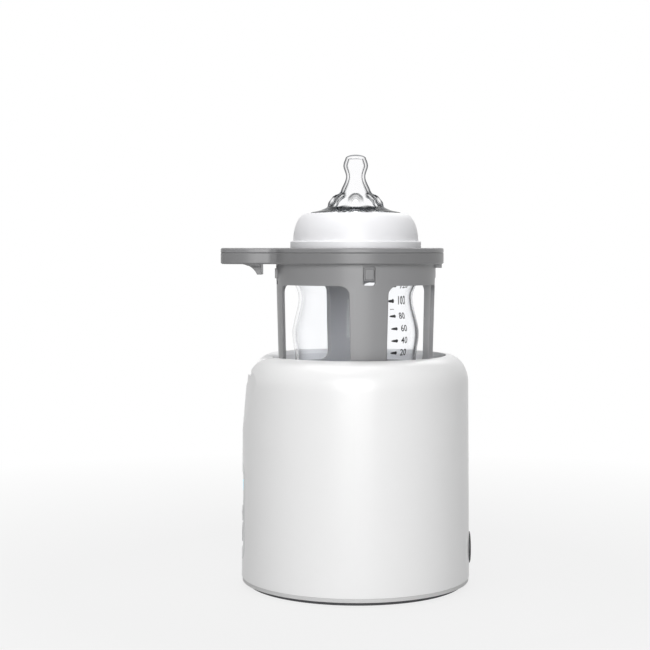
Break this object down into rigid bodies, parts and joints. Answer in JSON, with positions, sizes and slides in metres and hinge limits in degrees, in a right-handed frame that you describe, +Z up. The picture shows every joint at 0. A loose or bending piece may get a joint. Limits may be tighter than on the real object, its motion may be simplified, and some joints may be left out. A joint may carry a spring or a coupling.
{
  "type": "bottle warmer",
  "caption": "Round white bottle warmer with a heated water tank, a grey lift-out basket with a handle, and a clear feeding bottle with its teat.",
  "frame": {"origin": "on the water chamber's axis, on the surface the foot ring stands on", "axes": "+Z up along the chamber's axis; -Y is the front, with the handle and the control panel; +Y is the rear, with the cord gland"},
  "size_m": [0.1179, 0.1281, 0.2208],
  "materials": {
    "housing_white": "gloss",
    "tank_grey": "satin",
    "silicone_seal": "matte",
    "steel_plate": "brushed",
    "heater_metal": "satin",
    "screw_steel": "satin",
    "black_plastic": "satin",
    "fuse_metal": "satin",
    "base_plastic": "satin",
    "foot_rubber": "matte",
    "board_green": "satin",
    "transformer_iron": "matte",
    "capacitor_yellow": "satin",
    "capacitor_can": "satin",
    "fuse_glass": "clear",
    "clip_brass": "satin",
    "terminal_green": "satin",
    "lens_green": "gloss",
    "bezel_grey": "satin",
    "panel_grey": "satin",
    "window_dark": "gloss",
    "button_grey": "satin",
    "basket_grey": "satin",
    "cover_grey": "satin",
    "bottle_clear": "clear",
    "ring_white": "satin",
    "teat_silicone": "translucent satin"
  },
  "bodies": {
    "housing": {"outer_housing": "housing_white", "inner_tank": "tank_grey", "heater_gasket": "silicone_seal", "heater_plate": "steel_plate", "heater_element": "heater_metal", "clamp_ring": "steel_plate", "clamp_screws": "screw_steel", "thermostat": "black_plastic", "thermostat_bracket": "steel_plate", "bracket_screws": "screw_steel", "thermal_fuse": "fuse_metal", "temperature_probe": "steel_plate", "base_plate": "base_plastic", "base_screws": "screw_steel", "foot_ring": "foot_rubber", "power_board": "board_green", "board_screws": "screw_steel", "relay": "black_plastic", "transformer": "transformer_iron", "film_capacitor": "capacitor_yellow", "smoothing_capacitor": "capacitor_can", "line_fuse": "fuse_glass", "fuse_clips": "clip_brass", "terminal_block": "terminal_green", "control_board": "board_green", "control_board_screws": "screw_steel", "display_module": "black_plastic", "key_switches": "black_plastic", "status_led": "lens_green", "panel_bezel": "bezel_grey", "control_panel": "panel_grey", "display_window": "window_dark", "status_lens": "lens_green", "cord_gland": "black_plastic", "gland_nut": "black_plastic"},
    "basket": {"basket_frame": "basket_grey", "rim_cover": "cover_grey"},
    "bottle": {"bottle_shell": "bottle_clear"},
    "teat_body": {"teat": "teat_silicone"},
    "ring": {"screw_ring": "ring_white"},
    "power_key": {"power_button": "button_grey"},
    "plus_key": {"plus_button": "button_grey"},
    "minus_key": {"minus_button": "button_grey"}
  },
  "joints": [
    {"name": "basket_lift", "type": "slide", "parent": "housing", "child": "basket", "axis": [0, 0, 1], "range_m": [-0.0557, 0.06]},
    {"name": "bottle_lift", "type": "slide", "parent": "basket", "child": "bottle", "axis": [0, 0, 1], "range_m": [0, 0.09]},
    {"name": "teat_rise", "type": "slide", "parent": "bottle", "child": "teat_body", "axis": [0, 0, 1], "range_m": [0, 0.00501]},
    {"name": "ring_turn", "type": "hinge", "parent": "teat_body", "child": "ring", "pos_m": [0, 0, 0.1875], "axis": [0, 0, 1], "range_deg": [0, 450]},
    {"name": "power_press", "type": "slide", "parent": "housing", "child": "power_key", "axis": [0, 1, 0], "range_m": [0, 0.0008], "stiffness_N_per_m": 400},
    {"name": "plus_press", "type": "slide", "parent": "housing", "child": "plus_key", "axis": [0, 1, 0], "range_m": [0, 0.0008], "stiffness_N_per_m": 400},
    {"name": "minus_press", "type": "slide", "parent": "housing", "child": "minus_key", "axis": [0, 1, 0], "range_m": [0, 0.0008], "stiffness_N_per_m": 400}
  ],
  "couplings": [
    {"joint": "teat_rise", "follows": "ring_turn", "m_per_rad": 0.00063662}
  ]
}
